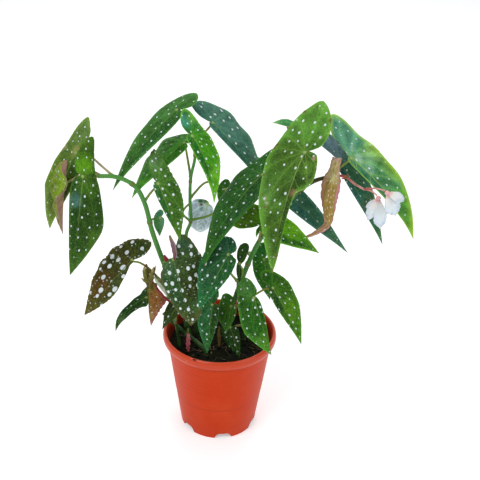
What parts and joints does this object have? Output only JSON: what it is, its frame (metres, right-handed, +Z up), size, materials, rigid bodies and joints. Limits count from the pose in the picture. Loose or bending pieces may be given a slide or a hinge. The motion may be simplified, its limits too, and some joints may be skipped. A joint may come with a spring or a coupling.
{
  "type": "potted plant",
  "caption": "Potted polka dot begonia: arching canes with wing-shaped, white-dotted leaves and small white flowers in a round tapered orange-red plastic pot.",
  "frame": {"origin": "centre of the flat disc under the pot, on which it rests", "axes": "+Z up; -Y towards the viewer, the side to which most leaves lean; +X to the viewer's right"},
  "size_m": [0.4757, 0.2154, 0.5081],
  "materials": {
    "pot_plastic": "moulded orange-red plastic, satin, lightly scuffed",
    "soil": "dark damp potting soil with bark crumbs",
    "cane": "smooth green cane with brown rings",
    "leaf_green": "waxy mid-green leaf with pale dots, dull red-purple beneath",
    "leaf_bright": "waxy bright green young leaf with pale dots",
    "leaf_dark": "waxy dark green leaf with white dots",
    "leaf_blue": "waxy leaf with a blue-grey sheen and white dots",
    "leaf_bronze": "olive-brown leaf with large white dots",
    "dry_leaf": "dry, rolled, pinkish-brown leaf",
    "flower_stalk": "thin pink-red stalk",
    "petal": "translucent white petal with a pink base"
  },
  "bodies": {
    "root": {"pot": "pot_plastic", "soil": "soil", "cane_left": "cane", "cane_middle": "cane", "cane_right": "cane", "shoot_right": "cane", "shoot_left": "cane", "cane_low": "cane", "flower_stalk": "flower_stalk", "flower_left": "petal", "flower_right": "petal", "withered_right": "dry_leaf", "withered_bract": "dry_leaf", "withered_low": "dry_leaf", "leaf_far_left": "leaf_green", "leaf_far_left_ruffled": "leaf_bright", "leaf_left": "leaf_green", "leaf_top_long": "leaf_green", "leaf_top_under": "leaf_green", "leaf_centre_wavy": "leaf_green", "leaf_top_bright": "leaf_bright", "leaf_top_right": "leaf_blue", "leaf_spotted_front": "leaf_bronze", "leaf_spotted_low": "leaf_bronze", "leaf_long_dark": "leaf_dark", "leaf_largest": "leaf_green", "leaf_right_tall": "leaf_bright", "leaf_right_folded": "leaf_blue", "leaf_right_blue": "leaf_blue", "leaf_right_bright": "leaf_bright", "leaf_right_shaded": "leaf_dark", "leaf_low_right": "leaf_bright", "leaf_over_rim": "leaf_bright", "leaf_middle_teal": "leaf_blue", "leaf_middle_small": "leaf_dark", "leaf_low_middle": "leaf_dark", "leaf_low_round": "leaf_green", "leaf_in_pot": "leaf_dark", "leaf_spotted_left": "leaf_bronze", "leaf_low_left": "leaf_dark", "leaf_shrivelled": "dry_leaf", "leaf_backlit": "leaf_blue", "leaf_behind_small": "leaf_dark", "leaf_tiny": "leaf_blue", "leaf_back_top": "leaf_blue"}
  },
  "joints": []
}
